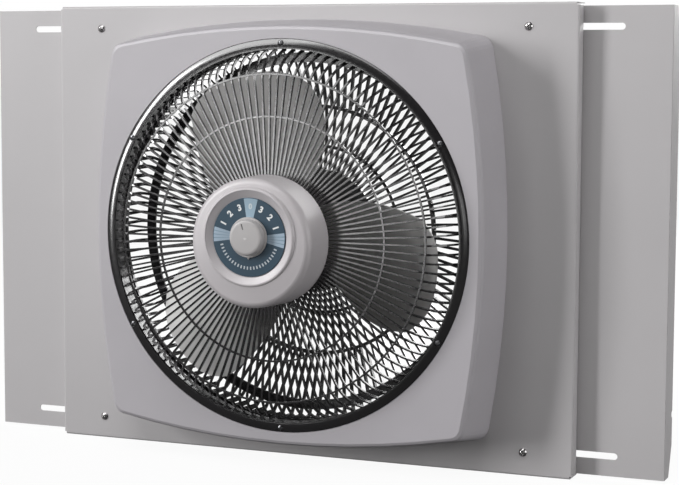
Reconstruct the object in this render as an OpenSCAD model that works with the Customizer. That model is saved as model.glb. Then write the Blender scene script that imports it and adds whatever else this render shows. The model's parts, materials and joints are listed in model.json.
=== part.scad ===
// Window fan: a folded sheet panel carries a moulded bezel, two wire-like guards with the
// fan wheel between them, a hub pod with the motor, switch and dial, and two side panels
// that slide out from behind the main panel to fill the window.
//
// Frame: +Z up, the room side faces -Y. The origin is the middle of the sill flange's
// underside. Parts on the fan's axis are drawn in an axis frame whose z runs forward, into
// the room, from the front face of the main panel, and are placed by on_axis().

/* [Main panel] */
// Width of the main panel
panel_w = 690; // [660:5:740]
// Height of the main panel
panel_h = 560; // [550:5:620]
// Thickness of the sheet metal
sheet_t = 1; // [0.8:0.1:1.4]
// Depth of the folded top and bottom edges behind the front face
flange_depth = 35; // [30:1:42]
// Depth of the folded side edges behind the front face
side_edge_depth = 17; // [12:1:20]
// Outer radius of the folds
bend_r = 2.5; // [1.8:0.1:4]
// Gap between the rear guard's drum and the air opening in the main panel
opening_gap = 15; // [12:1:16]
// Distance of the corner screws from the panel's side edges
screw_inset_x = 61; // [54:1:66]
// Distance of the corner screws from the panel's top and bottom edges
screw_inset_z = 28; // [24:0.5:32]
// Distance between the two sill screw holes
sill_hole_pitch = 500; // [420:10:600]
// Diameter of the sill screw holes
sill_hole_d = 5; // [4:0.5:6]

/* [Side panels] */
// Travel of a side panel from fully out to fully in
side_travel = 106; // [80:2:110]
// Distance from the main panel's edge to the side panel's edge when it is fully in
side_inset = 1; // [0:0.5:4]
// Gap between the main panel's side edge and the side panel that slides behind it
side_behind = 3; // [1:0.5:6]
// How much shorter the side panel is than the main panel, at each end
side_drop = 4; // [2.5:0.5:8]
// Depth of the folded outer edge of a side panel
side_flange = 37; // [28:1:42]
// Length of the chamfer at each end of the folded outer edge
side_chamfer = 36; // [20:1:45]
// Width of the slot that the corner screw runs in
slot_w = 8; // [7:0.5:10]
// Width of the side panel's web beside the air opening
side_web = 120; // [112:2:130]
// Height of each tongue that carries a slot
tongue_h = 44; // [38:1:80]
// Sheet left between a slot's inner end and the tongue's tip
tongue_tip = 12; // [8:1:18]
// Radius of the notches in the rear edge of the folded outer edge
notch_r = 4; // [3:0.5:5]
// Height of the notches above and below the fan's axis
notch_z = 203; // [160:1:212]

/* [Bezel] */
// Distance the bezel stands out from the main panel
bezel_depth = 70; // [66:1:76]
// Width of the bezel's front face beside the guard, at mid side
face_margin = 16; // [13:1:19]
// How far each side of the bezel spreads from its front face to the panel
wall_spread = 9; // [6:1:12]
// Bow of each side of the front face, over the bow span
front_bow = 22.5; // [16:0.5:26]
// Bow of each side at the panel, over the bow span
base_bow = 20; // [14:0.5:24]
// Half length over which the bow is measured
bow_span = 225; // [215:1:230]
// Corner radius of the front face
front_corner_r = 14; // [10:1:22]
// Corner radius at the panel
base_corner_r = 18; // [12:1:26]
// Height of the rounded front edge
edge_round = 6; // [3:0.5:8]
// Wall thickness of the bezel
bezel_t = 3; // [2.2:0.2:4]
// Diameter of the bezel screws
bezel_screw_d = 4; // [3:0.5:5]
// Length of the bezel screws
bezel_screw_len = 20; // [14:1:26]
// Distance of the middle bezel screws from the centre line
bezel_screw_x = 132; // [120:2:140]

/* [Front guard] */
// Outer radius of the guard's rim flange
rim_r = 237; // [235:0.5:239]
// Width of the rim flange
rim_w = 10; // [9:0.5:11]
// Thickness of the rim flange
rim_t = 3; // [2.4:0.2:3.6]
// Height of the crown on the rim flange's face
rim_crown = 2.5; // [1:0.5:3]
// Depth of the skirt behind the rim flange
skirt_h = 16; // [13:1:20]
// Height of the guard's face at the hub, above the main panel
face_z = 107; // [102:1:112]
// How much the face falls from the hub to the shoulder
face_fall = 3; // [0:0.5:5]
// Distance over which the bars turn back from the face to the rim
shoulder_run = 37; // [35:1:47]
// Number of bars in the front guard
front_bars = 120; // [96:6:120]
// Width of a bar across the guard
bar_w = 2.2; // [1.8:0.1:2.6]
// Depth of a bar along the axis
bar_d = 3.4; // [2.6:0.2:4.4]
// Radius of the inner ring of the front guard
ring_in_r = 145.5; // [130:0.5:155]
// Distance of the front guard's outer ring beyond the start of the turn
ring_out_step = 5.5; // [-2:0.5:8]
// Thickness of a guard ring
ring_t = 2.2; // [1.6:0.2:3]
// Diameter of the six screws that hold the two guards to the bezel
rim_screw_d = 3.5; // [3:0.5:4]
// Height of the hub plate in front of the bars
hub_rise = 4; // [2:0.5:6]

/* [Rear guard] */
// How far the drum's inside stands inside the rim flange's inner edge
drum_step = 1; // [-1:0.5:4]
// Depth of a drum bar, measured along the radius
drum_bar_d = 8; // [6:0.5:8.5]
// Radius of the round corner between the drum and the dome
drum_corner_r = 12; // [10:1:16]
// Slope of the outer part of the dome
dome_slope = 26; // [20:1:28]
// Rise of the inner part of the dome
dome_rise = 11; // [6:1:14]
// Number of bars in the drum and the outer dome
outer_bars = 120; // [96:6:120]
// Number of bars in the inner dome
inner_bars = 80; // [60:4:80]
// Width of a rear guard bar
rear_bar_w = 2.6; // [2:0.2:3]
// Width of the broad ring at the corner of the drum
tip_ring_w = 12; // [9:0.5:13]
// Distance of the broad ring's outer edge from the drum's inside
tip_ring_gap = 4; // [3:0.5:7]
// Radius of the ring between the outer and the inner dome
mid_ring_r = 155.5; // [140:0.5:165]
// Radius of the smallest ring
small_ring_r = 105; // [96:0.5:115]
// Width of the middle and small rings
rear_ring_w = 4; // [3:0.5:5]
// Radius of the rear guard's centre disc
rear_hub_r = 76; // [66:1:84]

/* [Fan wheel] */
// Clearance between the blade tips and the drum
tip_clear = 25; // [18:1:31]
// Number of blades
blade_count = 3; // [3:1:4]
// Thickness of a blade
blade_t = 3; // [2.4:0.2:4]
// Height of the blades' front edge above the main panel
blade_front_z = 78; // [74:1:82]
// Height of the blades' rear edge at mid span
blade_rear_z = 24; // [20:1:32]
// Rise of the rear edge from mid span to the tip
blade_rear_rise = 19; // [12:1:22]
// Camber of a blade section
blade_camber = 5; // [2:0.5:8]
// Outer radius of the wheel's hub
wheel_hub_r = 42; // [38:1:46]
// Depth of the wheel's hub
wheel_hub_h = 52; // [46:1:56]
// Turn of the wheel at rest
blade_turn = 111; // [0:1:120]

/* [Motor] */
// Radius of the motor shaft
shaft_r = 4; // [3:0.5:5]
// Radial running clearance of the shaft in its bearings
shaft_clear = 0.03; // [0.02:0.01:0.06]
// Outer radius of the motor bells
motor_r = 46; // [42:0.5:47]
// Length of the stator core
stator_h = 24; // [20:1:26]
// Distance from the stator core's end to the outside of a bell
bell_h = 12; // [10:1:13]
// Wall thickness of the motor bells
bell_t = 1.6; // [1.2:0.2:2.4]
// Radius of the stator bore
stator_bore_r = 24; // [20:0.5:28]
// Air gap between the rotor core and the stator
air_gap = 0.4; // [0.3:0.1:0.8]
// Outer radius of a bearing
bearing_r = 9; // [8:0.5:11]
// Length of a bearing
bearing_h = 9; // [7:0.5:11]
// Radius of the circle of the four motor screws
motor_screw_pcr = 53; // [51.5:0.5:55]
// Diameter of the motor screws
motor_screw_d = 4; // [3:0.5:5]

/* [Hub pod] */
// Radius of the pod at the guard
pod_base_r = 77.5; // [75:0.5:80]
// Radius of the pod at its shoulder
pod_shoulder_r = 76; // [72:0.5:77]
// Height of the pod's shoulder above the guard's face
pod_wall_h = 53; // [52:1:60]
// Rise of the pod's front face from the shoulder to the rim of the dial recess
pod_face_rise = 4; // [3:0.5:6]
// Radius of the rounded shoulder
pod_round = 9; // [6:0.5:12]
// Distance of the dial's centre above the fan's axis
dial_lift = 7.5; // [0:0.5:8]
// Radius of the rim of the dial recess
recess_rim_r = 56; // [53:0.5:58]
// Radius of the dial
dial_r = 46; // [43:0.5:49]
// Depth of the dial recess
recess_depth = 3.5; // [3:0.5:5]
// Wall thickness of the pod
pod_t = 2.6; // [2:0.2:3.2]
// Thickness of the dial plate
dial_t = 1.2; // [0.8:0.2:2]
// Radius of the circle of the four pod screws
pod_screw_pcr = 66; // [64:0.5:67]
// Diameter of the pod screws
pod_screw_d = 3.5; // [3:0.25:4]
// Length of the pod screws
pod_screw_len = 24; // [18:1:28]

/* [Knob and switch] */
// Radius of the knob's grip
knob_r = 20.5; // [18:0.5:23]
// Height of the knob above the dial
knob_h = 10; // [9:0.5:14]
// Radius of the knob's base flange
knob_flange_r = 23.5; // [21.5:0.5:26]
// Gap between the knob and the dial
knob_gap = 0.6; // [0.4:0.1:1.2]
// Angle from the knob's pointer line to its mark
mark_turn = 16; // [0:1:20]
// Radius of the switch shaft
switch_shaft_r = 3; // [2.5:0.25:4]
// Side of the square switch body
switch_side = 30; // [26:1:34]
// Depth of the switch body
switch_h = 16; // [14:0.5:16.5]

/* [Hardware] */
// Diameter of the corner screws
guide_screw_d = 5; // [4:0.5:6]
// Outer radius of the spacers between main and side panels
spacer_r = 7; // [6:0.5:8]
// Outer radius of the clamp washers
washer_r = 9; // [8:0.5:10]
// Thickness of the clamp washers
washer_t = 1.2; // [1:0.1:1.6]
// Radius of the hole through the cord gland
gland_bore_r = 3.6; // [3:0.1:4.5]
// Outer radius of the cord gland's body
gland_r = 7; // [6:0.5:9]

/* [Hidden] */
// Gap left between pieces that slide past each other
slide_gap = 0.35;
// Gap left round a screw in a clearance hole
hole_gap = 0.3;
// Small overlap where two shapes of one piece are joined
join = 0.5;
// Gap between the pod's wall and the hub plate inside it
plate_gap = 0.5;

axis_h = panel_h / 2;
panel_face_y = -flange_depth / 2;
screw_x = panel_w / 2 - screw_inset_x;
screw_z = panel_h / 2 - screw_inset_z;
side_front_z = -side_edge_depth - side_behind;
side_rear_z = side_front_z - sheet_t;
side_out_x = panel_w / 2 - side_inset + side_travel;
side_half_h = panel_h / 2 - side_drop;
washer_z = side_rear_z - slide_gap;
spacer_end_z = side_front_z + slide_gap;
clamp_nut_h = 4;
front_half = rim_r + face_margin;
base_half = front_half + wall_spread;
wall_lean = wall_spread / bezel_depth;
boss_z = bezel_depth - bezel_t;
rim_z = bezel_depth;
rim_inner_r = rim_r - rim_w;
rim_screw_r = rim_r - rim_w / 2;
recess_gap = 0.6;
lip_t = 3.5;
lip_top_z = rim_z - rim_t;
lip_low_z = lip_top_z - lip_t;
skirt_t = 1.8;
skirt_low_z = rim_z - skirt_h;
shoulder_r = rim_inner_r - shoulder_run;
shoulder_z = face_z - face_fall;
ring_out_r = shoulder_r + ring_out_step;
pod_lean = (pod_base_r - pod_shoulder_r) / (pod_wall_h - pod_round);
plate_r = pod_base_r - max(0, pod_lean) * hub_rise - pod_t - plate_gap;
plate_low_z = face_z - bar_d - 0.8;
plate_top_z = face_z + hub_rise;
drum_flange_t = 3;
dome_bar_d = 5.5;
inner_bar_d = 4.5;
bar_end_gap = 0.7;
cone_start_z = 2.5;
mid_ring_t = 6.2;
drum_r = rim_inner_r - drum_step;
drum_out_r = drum_r + drum_bar_d;
tip_ring_r = drum_r - tip_ring_gap;
opening_r = drum_out_r + opening_gap;
guard_nut_h = 2.8;
motor_mid_z = (plate_low_z + plate_top_z) / 2;
stator_r = motor_r - bell_t;
stator_top_z = motor_mid_z + stator_h / 2;
stator_low_z = motor_mid_z - stator_h / 2;
bell_top_z = stator_top_z + bell_h;
bell_low_z = stator_low_z - bell_h;
bearing_out = bearing_h * 0.55;
front_bearing_z = bell_top_z + bearing_out - bearing_h;
rear_bearing_z = bell_low_z - bearing_out;
pod_low_z = face_z + slide_gap;
pod_shoulder_z = face_z + pod_wall_h;
pod_rim_z = pod_shoulder_z + pod_face_rise;
dial_z = pod_rim_z - recess_depth;
floor_top_z = dial_z - dial_t;
floor_low_z = floor_top_z - pod_t;
face_top_r = recess_rim_r - dial_lift - 3;
bush_r = switch_shaft_r + 1.6;
bush_top_z = floor_top_z + 3.4;
switch_nut_r = bush_r + 3;
switch_nut_h = 2.4;
dial_hole_r = switch_nut_r + 1.5;
knob_low_z = dial_z + knob_gap;
knob_top_z = knob_low_z + knob_h;
knob_web_z = bush_top_z + 1;
knob_cap_t = 2.5;
wheel_hub_top_z = rear_bearing_z - bell_t - 2.2;
wheel_hub_low_z = wheel_hub_top_z - wheel_hub_h;
wheel_boss_r = shaft_r + 6;
wheel_bore_r = shaft_r + 0.05;
pin_r = 1.5;
pin_z = wheel_hub_top_z - pin_r - 0.5;
wheel_nut_top_z = wheel_hub_low_z + 14;
shaft_low_z = wheel_nut_top_z - 9;
capacitor_size = [16, 32, 20];
capacitor_x = switch_side / 2 + 4;
blade_r = drum_r - tip_clear;
blade_mid_r = wheel_hub_r + 0.65 * (blade_r - wheel_hub_r);
blade_rise_r = wheel_hub_r + 0.46 * (blade_r - wheel_hub_r);
blade_rows = 10;
blade_cols = 10;
gland_y = -170;
gland_z = 18;
gland_inner = 8;
gland_outer = 2.5;
gland_flange_r = gland_r + 3.5;
gland_wall_x = base_half - wall_lean * gland_z - base_bow * pow(gland_y / bow_span, 2);

// ---------- helpers ----------

// Places a shape of the axis frame in the part's frame.
module on_axis() {
    translate([0, panel_face_y, axis_h]) rotate([90, 0, 0]) children();
}

// Copies a shape to the four corners that x and y span.
module at_corners(x, y) {
    for (sx = [-1, 1]) for (sy = [-1, 1]) translate([sx * x, sy * y, 0]) children();
}

// A ring of rectangular section between two radii and two heights.
module flat_ring(r_in, r_out, z_low, z_high) {
    translate([0, 0, z_low]) rotate_extrude($fn = 120)
        translate([r_in, 0]) square([r_out - r_in, z_high - z_low]);
}

// A thin radial wall cut to a profile of radius and height.
module radial_wall(width, profile) {
    rotate([90, 0, 0]) translate([0, 0, -width / 2])
        linear_extrude(width) polygon(profile);
}

// A ring of equal radial walls.
module radial_walls(count, width, profile) {
    for (i = [0:count - 1]) rotate([0, 0, i * 360 / count]) radial_wall(width, profile);
}

// Radius of the arc that bows by a given amount over the bow span.
function bow_radius(bow) = (bow_span * bow_span + bow * bow) / (2 * bow);

// Points on a quarter of a square with bowed sides and round corners.
function bowed_quarter(half, side_r, corner_r) =
    let (
        back = half - side_r,
        reach = side_r - corner_r,
        c = (back + sqrt(2 * reach * reach - back * back)) / 2,
        turn = atan2(c, c - back)
    )
    concat(
        [for (i = [-5:5]) let (a = turn * i / 5)
            [back + side_r * cos(a), side_r * sin(a)]],
        [for (i = [1:3]) let (a = turn + (90 - 2 * turn) * i / 4)
            [c + corner_r * cos(a), c + corner_r * sin(a)]]
    );

// The whole outline of a square with bowed sides and round corners.
function bowed_square(half, bow, corner_r) =
    let (quarter = bowed_quarter(half, bow_radius(bow), corner_r))
    [for (k = [0:3]) for (p = quarter)
        [p[0] * cos(90 * k) - p[1] * sin(90 * k), p[0] * sin(90 * k) + p[1] * cos(90 * k)]];

// ---------- main panel ----------

// Section of a sheet folded back along both edges, with rounded folds.
module folded_section(w, depth) {
    difference() {
        rounded_edge_block(w, depth, bend_r);
        translate([0, -sheet_t])
            rounded_edge_block(w - 2 * sheet_t, depth, bend_r - sheet_t);
    }
}

// A rectangle below y = 0 whose two upper corners are round.
module rounded_edge_block(w, depth, r) {
    translate([-w / 2, -depth]) square([w, depth - r]);
    translate([-w / 2 + r, -depth]) square([w - 2 * r, depth]);
    for (s = [-1, 1]) translate([s * (w / 2 - r), -r]) circle(r = r, $fn = 48);
}

// The folded sheet: two crossed channels, with a relief notch at each corner.
module folded_sheet() {
    relief = bend_r + 0.8;
    rotate([90, 0, 0]) translate([0, 0, relief - panel_h / 2])
        linear_extrude(panel_h - 2 * relief) folded_section(panel_w, side_edge_depth);
    rotate([90, 0, 90]) translate([0, 0, relief - panel_w / 2])
        linear_extrude(panel_w - 2 * relief) folded_section(panel_h, flange_depth);
}

module front_panel() {
    color("#b9b7b6") on_axis() difference() {
        folded_sheet();
        translate([0, 0, -2 * sheet_t]) cylinder(r = opening_r, h = 3 * sheet_t, $fn = 120);
        at_corners(screw_x, screw_z) translate([0, 0, -2 * sheet_t])
            cylinder(d = guide_screw_d + 2 * hole_gap, h = 3 * sheet_t, $fn = 32);
        bezel_screw_places() translate([0, 0, -2 * sheet_t])
            cylinder(d = bezel_screw_d + 2 * hole_gap, h = 3 * sheet_t, $fn = 32);
        for (s = [-1, 1])
            translate([s * sill_hole_pitch / 2, -panel_h / 2 + 2 * sheet_t, -flange_depth / 2])
                rotate([90, 0, 0]) cylinder(d = sill_hole_d, h = 3 * sheet_t, $fn = 32);
    }
}

// ---------- side panels ----------

// Outline of the right side panel, fully out, seen from the room.
module side_outline() {
    tip_x = screw_x - slot_w / 2 - tongue_tip;
    web_x = side_out_x - side_web;
    difference() {
        translate([tip_x, -side_half_h]) square([side_out_x - tip_x, 2 * side_half_h]);
        translate([tip_x - 1, -side_half_h + tongue_h])
            square([web_x - tip_x + 1, 2 * (side_half_h - tongue_h)]);
        for (s = [-1, 1]) {
            translate([screw_x, s * screw_z]) circle(d = slot_w, $fn = 32);
            translate([screw_x, s * screw_z - slot_w / 2]) square([side_travel, slot_w]);
            translate([screw_x + side_travel, s * screw_z]) circle(d = slot_w, $fn = 32);
        }
    }
}

// Side view of the folded outer edge: depth along x, height along y.
module side_flange_outline() {
    low = side_half_h;
    end = side_flange * 0.6;
    difference() {
        polygon([
            [0, -low], [end, -low], [side_flange, -low + side_chamfer],
            [side_flange, low - side_chamfer], [end, low], [0, low]
        ]);
        for (s = [-1, 1]) translate([side_flange, s * notch_z]) circle(r = notch_r, $fn = 32);
    }
}

module side_panel() {
    color("#b5b3b2") {
        difference() {
            translate([0, 0, side_rear_z]) linear_extrude(sheet_t) side_outline();
            // The fold's outer edge is rounded.
            fold_rounding();
        }
        difference() {
            translate([side_out_x, 0, side_front_z]) rotate([0, 90, 0]) mirror([0, 0, 1])
                linear_extrude(sheet_t) side_flange_outline();
            fold_rounding();
        }
    }
}

// The waste outside the round fold of a side panel.
module fold_rounding() {
    r = sheet_t * 0.9;
    translate([side_out_x - r, -side_half_h - 1, side_front_z - r]) rotate([-90, 0, 0])
        linear_extrude(2 * side_half_h + 2) mirror([0, 1]) difference() {
            square([r + 1, r + 1]);
            circle(r = r, $fn = 32);
        }
}

module right_side_panel() {
    on_axis() side_panel();
}

module left_side_panel() {
    on_axis() mirror([1, 0, 0]) side_panel();
}

// ---------- bezel ----------

// The bezel's outer form, or its inner form when it is shrunk by a wall.
module bezel_form(inset, z_low) {
    top = bezel_depth - inset;
    hull() {
        bezel_slice(z_low, base_half - wall_lean * z_low - inset, base_bow, base_corner_r);
        bezel_slice(top - edge_round, front_half + wall_lean * edge_round - inset,
            front_bow, front_corner_r);
        bezel_slice(top - edge_round * 0.3, front_half - edge_round * 0.22 - inset,
            front_bow, front_corner_r);
        bezel_slice(top - join / 10, front_half - edge_round * 0.75 - inset,
            front_bow, front_corner_r);
    }
}

module bezel_slice(z, half, bow, corner_r) {
    translate([0, 0, z]) linear_extrude(join / 10) polygon(bowed_square(half, bow, corner_r));
}

// Places of the screws that hold the bezel from behind the main panel.
module bezel_screw_places() {
    corner = base_half - base_bow - base_corner_r - 16;
    at_corners(corner, corner) children();
    at_corners(bezel_screw_x, base_half - 28) children();
}

module bezel_boss() {
    difference() {
        cylinder(d = bezel_screw_d + 6, h = boss_z + join, $fn = 32);
        translate([0, 0, -1]) cylinder(d = bezel_screw_d + 0.1, h = bezel_screw_len + 6, $fn = 32);
    }
}

// The axis of the cord gland: its z points out through the bezel's left wall.
module gland_place() {
    translate([-gland_wall_x, gland_y, gland_z]) rotate([0, -90, 0]) children();
}

module bezel() {
    color("#b3b0b4") on_axis() difference() {
        union() {
            difference() {
                bezel_form(0, 0);
                bezel_form(bezel_t, -1);
                translate([0, 0, bezel_depth / 2])
                    cylinder(r = rim_r + recess_gap, h = bezel_depth, $fn = 120);
            }
            flat_ring(rim_inner_r + 1, rim_r + recess_gap + join, lip_low_z, lip_top_z);
            flat_ring(rim_r + recess_gap, rim_r + recess_gap + 3, lip_low_z, boss_z + join);
            bezel_screw_places() bezel_boss();
            gland_place() translate([0, 0, -gland_inner]) cylinder(r = gland_flange_r + 1,
                h = gland_inner + gland_outer, $fn = 48);
        }
        guard_screw_places() translate([0, 0, lip_low_z - 1])
            cylinder(d = rim_screw_d + 2 * hole_gap, h = lip_t + 2, $fn = 24);
        gland_place() {
            translate([0, 0, -2 * gland_inner])
                cylinder(r = gland_r + slide_gap, h = 4 * gland_inner, $fn = 48);
            translate([0, 0, gland_outer])
                cylinder(r = gland_flange_r + slide_gap, h = 2 * gland_r, $fn = 48);
            translate([0, 0, -gland_inner - 2 * gland_r])
                cylinder(r = gland_flange_r + slide_gap, h = 2 * gland_r, $fn = 48);
        }
    }
}

module bezel_screws() {
    color("#8d8d8f") on_axis() bezel_screw_places() {
        translate([0, 0, -sheet_t - 2.2]) cylinder(d = bezel_screw_d * 2, h = 2.2, $fn = 32);
        translate([0, 0, -sheet_t - join]) cylinder(d = bezel_screw_d, h = bezel_screw_len, $fn = 32);
    }
}

// ---------- guards ----------

module guard_screw_places() {
    for (i = [0:5]) rotate([0, 0, 90 + 60 * i]) translate([rim_screw_r, 0, 0]) children();
}

// A bar of the front guard, from the hub plate over the shoulder to the skirt.
function front_bar_profile() =
    let (
        low = skirt_low_z,
        a = rim_inner_r - join - shoulder_r,
        b = shoulder_z - low,
        outer = [for (t = [0:12:84]) [shoulder_r + a * turn_in(sin(t)), low + b * turn_in(cos(t))]],
        inner = [for (t = [84:-12:0])
            [shoulder_r + (a - bar_d) * turn_in(sin(t)), low + (b - bar_d) * turn_in(cos(t))]]
    )
    concat([[pod_base_r - 6, face_z]], outer, inner, [[pod_base_r - 6, face_z - bar_d]]);

// Makes the turn from the face to the rim flatter than a quarter of an ellipse.
function turn_in(x) = pow(x, 1.25);

// Height of the front guard's face at a radius inside the shoulder.
function face_height(r) = face_z - face_fall * (r - pod_base_r) / (shoulder_r - pod_base_r);

module guard_ring(r) {
    low = face_height(r) - bar_d * 0.85;
    flat_ring(r - ring_t / 2, r + ring_t / 2, low, low + bar_d * 0.65);
}

// The rim flange: its face falls outward in a shallow crown.
module rim_flange() {
    crown = [for (i = [0:6]) let (t = i / 6) [rim_inner_r + rim_w * t, rim_z + rim_crown * (1 - t * t)]];
    rotate_extrude($fn = 120) polygon(concat(
        crown,
        [[rim_r, lip_top_z], [rim_inner_r - join, lip_top_z], [rim_inner_r - join, rim_z + rim_crown]]
    ));
}

module front_guard() {
    color("#2a2828") on_axis() difference() {
        union() {
            radial_walls(front_bars, bar_w, front_bar_profile());
            guard_ring(ring_in_r);
            guard_ring(ring_out_r);
            flat_ring(motor_r + slide_gap, plate_r, plate_low_z, plate_top_z);
            flat_ring(rim_inner_r - skirt_t, rim_inner_r, skirt_low_z, rim_z + rim_crown / 2);
            rim_flange();
        }
        guard_screw_places() translate([0, 0, lip_top_z - 1])
            cylinder(d = rim_screw_d + 2 * hole_gap, h = rim_t + rim_crown + 2, $fn = 24);
        guard_screw_places() translate([0, 0, rim_z])
            cylinder(d = rim_screw_d * 2 + 2 * hole_gap, h = rim_crown + 1, $fn = 32);
        motor_screw_places() translate([0, 0, plate_low_z - 1])
            cylinder(d = motor_screw_d + 2 * hole_gap, h = plate_top_z - plate_low_z + 2, $fn = 24);
        pod_screw_places() translate([0, 0, plate_low_z - 1])
            cylinder(d = pod_screw_d + 2 * hole_gap, h = plate_top_z - plate_low_z + 2, $fn = 24);
    }
}

// Outer line of the rear guard from the drum over its round corner and down the cone.
function drum_line(inset) =
    let (
        turn = 90 - dome_slope,
        r = drum_corner_r - inset,
        c = drum_out_r - drum_corner_r,
        end_r = mid_ring_r + bar_end_gap
    )
    concat(
        [for (a = [0:turn / 6:turn + 0.01]) [c + r * cos(a), cone_start_z - r * sin(a)]],
        [[end_r, cone_height(end_r) + inset / cos(dome_slope)]]
    );

// Height of the cone's outer line at a radius.
function cone_height(r) =
    let (turn = 90 - dome_slope, c = drum_out_r - drum_corner_r)
    cone_start_z - drum_corner_r * sin(turn)
        - (c + drum_corner_r * cos(turn) - r) * tan(dome_slope);

// Height of the shallow inner dome's outer line at a radius.
function dome_height(r) =
    cone_height(mid_ring_r) - dome_rise
        * (1 - pow((r - rear_hub_r) / (mid_ring_r - rear_hub_r), 2));

function drum_bar_profile() =
    let (outer = drum_line(0), inner = drum_line(dome_bar_d), last = len(inner) - 1)
    concat(
        [[drum_r + 4.5, lip_low_z - drum_flange_t / 2], [drum_out_r, skirt_low_z - 12]],
        outer,
        [for (i = [last:-1:0]) inner[i]],
        [[drum_r, skirt_low_z - 10], [drum_r + 2.2, skirt_low_z - 2]]
    );

function inner_bar_profile() =
    let (
        r0 = rear_hub_r - 2,
        r1 = mid_ring_r - bar_end_gap,
        radii = [for (i = [0:4]) r0 + (r1 - r0) * i / 4]
    )
    concat(
        [for (i = [0:4]) [radii[i], dome_height(radii[i])]],
        [for (i = [4:-1:0]) [radii[i], dome_height(radii[i]) + inner_bar_d]]
    );

module rear_guard() {
    hub_low = dome_height(rear_hub_r);
    mid_low = cone_height(mid_ring_r);
    color("#242222") on_axis() difference() {
        union() {
            rotate([0, 0, 180 / outer_bars])
                radial_walls(outer_bars, rear_bar_w, drum_bar_profile());
            radial_walls(inner_bars, rear_bar_w, inner_bar_profile());
            flat_ring(drum_r + 2.5, rim_r + recess_gap + 2, lip_low_z - drum_flange_t,
                lip_low_z);
            flat_ring(drum_r + 1.5, drum_out_r - 1.5, skirt_low_z - 20, skirt_low_z - 16);
            flat_ring(tip_ring_r - tip_ring_w, tip_ring_r, cone_height(tip_ring_r) + 3.5,
                cone_height(tip_ring_r) + 6);
            flat_ring(mid_ring_r - rear_ring_w / 2, mid_ring_r + rear_ring_w / 2,
                mid_low - 0.8, mid_low - 0.8 + mid_ring_t);
            flat_ring(small_ring_r - rear_ring_w / 2, small_ring_r + rear_ring_w / 2,
                dome_height(small_ring_r) + 1, dome_height(small_ring_r) + 3.5);
            translate([0, 0, hub_low - 0.8]) cylinder(r = rear_hub_r, h = 3, $fn = 96);
            flat_ring(rear_hub_r - 4, rear_hub_r, hub_low - 0.8, hub_low + 6);
        }
        guard_screw_places() translate([0, 0, lip_low_z - 10])
            cylinder(d = rim_screw_d + 2 * hole_gap, h = 20, $fn = 24);
    }
}

// A cross recess cut into a screw head.
module cross_recess(width, depth) {
    for (a = [0, 90]) rotate([0, 0, a + 20]) translate([-width / 2, -width / 8, -depth])
        cube([width, width / 4, 3 * depth]);
}

module guard_screws() {
    color("#2b2b2c") on_axis() guard_screw_places() {
        translate([0, 0, rim_z]) difference() {
            intersection() {
                cylinder(d = rim_screw_d * 2, h = 2.6, $fn = 32);
                translate([0, 0, -rim_screw_d]) sphere(r = rim_screw_d + 2.6, $fn = 48);
            }
            translate([0, 0, 2.6]) cross_recess(rim_screw_d * 1.1, 1.2);
        }
        translate([0, 0, lip_low_z - drum_flange_t - guard_nut_h - 1])
            cylinder(d = rim_screw_d, h = rim_z - lip_low_z + drum_flange_t + guard_nut_h + 1 + join,
                $fn = 32);
    }
}

module guard_nuts() {
    color("#8d8d8f") on_axis() guard_screw_places()
        translate([0, 0, lip_low_z - drum_flange_t - guard_nut_h]) difference() {
            cylinder(r = rim_screw_d, h = guard_nut_h, $fn = 6);
            translate([0, 0, -1]) cylinder(d = rim_screw_d + 0.1, h = guard_nut_h + 2, $fn = 32);
        }
}

// ---------- hardware of the side panels ----------

module guide_screws() {
    head_h = 3;
    color("#6c6a6a") on_axis() at_corners(screw_x, screw_z) {
        difference() {
            intersection() {
                cylinder(d = guide_screw_d * 2, h = head_h, $fn = 40);
                translate([0, 0, head_h - 6.2]) sphere(r = 6.2, $fn = 48);
            }
            translate([0, 0, head_h]) cross_recess(guide_screw_d * 1.1, 1.5);
        }
        translate([0, 0, washer_z - washer_t - clamp_nut_h - 2])
            cylinder(d = guide_screw_d, h = 2 + clamp_nut_h + washer_t - washer_z + join, $fn = 32);
    }
}

module guide_spacers() {
    bore = guide_screw_d + 2 * hole_gap;
    color("#9a9a9c") on_axis() at_corners(screw_x, screw_z) difference() {
        union() {
            translate([0, 0, spacer_end_z])
                cylinder(r = spacer_r, h = -spacer_end_z - sheet_t, $fn = 48);
            translate([0, 0, washer_z])
                cylinder(d = slot_w - 2 * slide_gap, h = spacer_end_z - washer_z + join, $fn = 48);
        }
        translate([0, 0, washer_z - 1]) cylinder(d = bore, h = -washer_z + 2, $fn = 32);
    }
}

module clamp_washers() {
    color("#a5a5a6") on_axis() at_corners(screw_x, screw_z)
        flat_ring(guide_screw_d / 2 + hole_gap, washer_r, washer_z - washer_t, washer_z);
}

module clamp_nuts() {
    color("#8d8d8f") on_axis() at_corners(screw_x, screw_z)
        translate([0, 0, washer_z - washer_t - clamp_nut_h]) difference() {
            cylinder(r = guide_screw_d, h = clamp_nut_h, $fn = 6);
            translate([0, 0, -1]) cylinder(d = guide_screw_d + 0.1, h = clamp_nut_h + 2, $fn = 32);
        }
}

// The gland is a grommet: a flange on each side of the bezel's wall and a soft nose.
module cord_gland() {
    color("#1f1f20") on_axis() gland_place() rotate_extrude($fn = 64) polygon([
        [gland_bore_r, -gland_inner - 4], [gland_flange_r, -gland_inner - 4],
        [gland_flange_r, -gland_inner], [gland_r, -gland_inner], [gland_r, gland_outer],
        [gland_flange_r, gland_outer], [gland_flange_r - 0.5, gland_outer + 2.5],
        [gland_r - 1, gland_outer + 3.5], [gland_bore_r + 1.6, gland_outer + 8.5],
        [gland_bore_r, gland_outer + 8.5]
    ]);
}

// ---------- motor ----------

module motor_screw_places() {
    for (i = [0:3]) rotate([0, 0, 90 * i]) translate([motor_screw_pcr, 0, 0]) children();
}

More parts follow.
